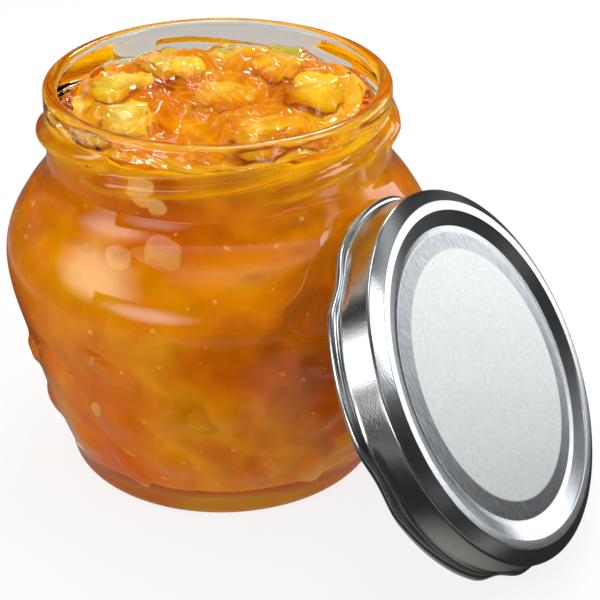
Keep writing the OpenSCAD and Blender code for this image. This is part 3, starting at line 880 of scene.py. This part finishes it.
# Pale flesh from near the skin, riper flesh, and flesh deep in the jelly.
pale_flesh = fruit_material("pale fruit flesh", [(0.3, "#fcc850"), (0.5, "#fcd87c"), (0.7, "#ffeab4")],
                            110.0, 0.1, 1.0)
ripe_flesh = fruit_material("ripe fruit flesh", [(0.3, "#f0ac1c"), (0.5, "#f8c038"), (0.7, "#fcd46c")],
                            110.0, 0.1, 1.0)
deep_flesh = fruit_material("deep fruit flesh", [(0.3, "#e4941c"), (0.5, "#f0b040"), (0.7, "#f8c868")],
                            70.0, 0.0, 0.0)
RIPE = (4, 6, 7)
for k, name in enumerate(surface_fruit, 1):
    detailed_fruit(name, ripe_flesh if k in RIPE else pale_flesh)
for name in deep_fruit:
    detailed_fruit(name, deep_flesh)
print("fruit pieces:", len(surface_fruit) + len(deep_fruit))

# %% [markdown]
# The lid is one pressing of tinned steel. A satin panel lies a little below the crest, with a
# step and a groove round it that stiffen the sheet. Its profile goes from the middle out to the
# rolled edge, and back along the underside.

# %% Profile of the lid
lid_low, lid_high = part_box("lid_shell")
FACING = Vector(frame["joints"][0]["axis"]).normalized()
LEAN = math.atan2(FACING.x, FACING.z)
ROLL_R, LID_H, SHEET = 1.1 * MM, 11.4 * MM, 0.22 * MM
SKIRT_GAP = 0.8 * MM
SKIRT_R = NECK_R + THREAD_OUT + SKIRT_GAP + SHEET
ROLL_C, ROLL_Z = SKIRT_R + ROLL_R / 2, ROLL_R - LID_H
PANEL_DROP = 1.1 * MM
crest_out = SKIRT_R - 3.2 * MM
crest_in = crest_out - 2.5 * MM
groove_out = crest_in - 2.7 * MM
groove_in = groove_out - 1.3 * MM
panel_r = groove_in - 3.9 * MM
lid_place = Vector((lid_low.x + (ROLL_C * math.cos(LEAN) + ROLL_R) - ROLL_Z * FACING.x,
                    (lid_low.y + lid_high.y) / 2,
                    lid_low.z + ROLL_C * math.sin(LEAN) + ROLL_R - ROLL_Z * FACING.z))


def rounded_path(points):
    """The path through (radius, height, rounding) points."""
    made = [points[0][:2]]
    for a, p, b in zip(points, points[1:], points[2:]):
        made += rounded_corner(a[:2], p[:2], b[:2], p[2], 6) if p[2] else [p[:2]]
    return made + [points[-1][:2]]


sheet_top = rounded_path([
    (0, -PANEL_DROP, 0), (panel_r, -PANEL_DROP, 0.6 * MM), (groove_in, -1.6 * MM, 0.6 * MM),
    (groove_out, -1.35 * MM, 0.7 * MM), (crest_in, -0.25 * MM, 0.5 * MM),
    (crest_in + 0.5 * MM, 0, 0.5 * MM), (crest_out, 0, 0.8 * MM), (SKIRT_R, -1.6 * MM, 0.8 * MM),
    (SKIRT_R, ROLL_Z + ROLL_R, 0)])
roll_arc = [(ROLL_C + ROLL_R * math.cos(math.radians(a)), ROLL_Z + ROLL_R * math.sin(math.radians(a)))
            for a in range(105, -211, -15)]
skirt_side = in_steps(sheet_top[-2], (SKIRT_R, ROLL_Z + ROLL_R + 0.5 * MM), 8)
outside = sheet_top[:-1] + skirt_side + roll_arc
under_sheet = [p for p in beside(sheet_top, SHEET)[::-1] if p[1] > ROLL_Z + ROLL_R]
inside = [(SKIRT_R - SHEET, ROLL_Z + ROLL_R)] + under_sheet
print("lid profile points:", len(outside), "outside,", len(inside), "inside")

# %% [markdown]
# The edge is pressed in at six places to make the lugs. Each point's own upright place is stored
# on it, for the material, and only then is the lid leaned over and set in its place.

# %% Lid
LUG_TURN = math.radians(60)
LUG_HALF = math.radians(13)
LUG_IN = 1.4 * MM
LUG_TALL, LUG_EASE = 3.2 * MM, 2.6 * MM
lid = turned_form("lid_shell_pressed", outside + inside, 240)
for v in lid.data.vertices:
    r = math.hypot(v.co.x, v.co.y)
    low_share = min(1, max(0, (ROLL_Z + LUG_TALL - v.co.z) / LUG_EASE))
    off = abs(math.atan2(v.co.y, v.co.x) % LUG_TURN - LUG_TURN / 2)
    if low_share > 0 and off < LUG_HALF:
        push = LUG_IN * low_share * (1 + math.cos(math.pi * off / LUG_HALF)) / 2
        v.co.x *= 1 - push / r
        v.co.y *= 1 - push / r
marks = lid.data.attributes.new("lid_place", "FLOAT_VECTOR", "POINT")
for v, mark in zip(lid.data.vertices, marks.data):
    mark.vector = v.co
lid.rotation_euler = (0, LEAN, 0)
lid.location = lid_place
pick(lid)
bpy.ops.object.transform_apply(location=True, rotation=True, scale=True)
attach(lid, "lid")
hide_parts("lid_shell")
print("lid faces:", len(lid.data.polygons), "crest centre at", [round(c / MM, 1) for c in lid_place])

# %% [markdown]
# Tinned steel is a bright metal. Rolling the sheet leaves a straight grain in it, which shows most
# on the slope round the panel. The panel itself is lacquered: satin, paler and faintly mottled. The
# pattern reads the upright places that were stored on the lid's points before it was leaned.

# %% Tinned steel
# Tinned steel, bare on the rings and lacquered on the panel.
tinned_steel, tree = new_material("tinned steel")
upright = add_node(tree, "ShaderNodeAttribute", attribute_name="lid_place").outputs["Vector"]
parts = add_node(tree, "ShaderNodeSeparateXYZ", {"Vector": upright})
flat = add_node(tree, "ShaderNodeCombineXYZ", {"X": parts.outputs["X"], "Y": parts.outputs["Y"]})
from_axis = add_node(tree, "ShaderNodeVectorMath", {0: flat.outputs["Vector"]}, operation="LENGTH")
radius = from_axis.outputs["Value"]
on_panel = map_range(tree, radius, panel_r, panel_r - 0.4 * MM)
on_slope = map_range(tree, radius, groove_in + 0.3 * MM, groove_in - 0.3 * MM)
GRAIN_SCALE = (300.0, 3600.0, 3600.0)
drawn_out = add_node(tree, "ShaderNodeVectorMath", {0: upright, 1: GRAIN_SCALE}, operation="MULTIPLY")
grain = mottle(tree, drawn_out.outputs["Vector"], 1.0, detail=2.0)
ring_rough = map_range(tree, on_slope, 0.0, 1.0, 0.13, 0.3)
even_rough = add_node(tree, "ShaderNodeMix", {"Factor": on_panel, "A": ring_rough, "B": 0.5},
                      data_type="FLOAT").outputs["Result"]
grained_rough = add_node(tree, "ShaderNodeMath", {0: grain, 1: 0.12, 2: even_rough},
                         operation="MULTIPLY_ADD").outputs["Value"]
coat = colour_steps(tree, mottle(tree, upright, 1300.0, detail=3.0), [(0.35, "#ebf0ef"), (0.65, "#f5f8f7")])
drawn = colour_steps(tree, grain, [(0.35, "#888c90"), (0.65, "#b4b8bc")])
bare = mix_colours(tree, on_slope, linear("#babec2"), drawn)
steel = add_node(tree, "ShaderNodeBsdfPrincipled", {
    "Base Color": mix_colours(tree, on_panel, bare, coat), "Metallic": 1.0,
    "Roughness": grained_rough, "Normal": relief_of(tree, grain, 0.5, 0.04 * MM)})
finish_material(tree, steel.outputs["BSDF"])
lid.data.materials.append(tinned_steel)
print("nodes in the steel:", len(tree.nodes))

# %% [markdown]
# The sealing ring keeps the model's own shape. It is a soft cream compound, poured as a liquid and
# cured, so it is smooth and nearly even in colour.

# %% Sealing ring
seal = frame["nodes"]["sealing_ring"]
# Cured sealing compound.
compound, tree = new_material("sealing compound")
shades = colour_steps(tree, mottle(tree, object_place(tree), 300.0), [(0.3, "#d8d2c0"), (0.7, "#e6e2d4")])
soft = add_node(tree, "ShaderNodeBsdfPrincipled", {"Base Color": shades, "Roughness": 0.45, "IOR": 1.5})
finish_material(tree, soft.outputs["BSDF"])
seal.data.materials.clear()
seal.data.materials.append(compound)
print("sealing ring has", len(seal.data.polygons), "faces")
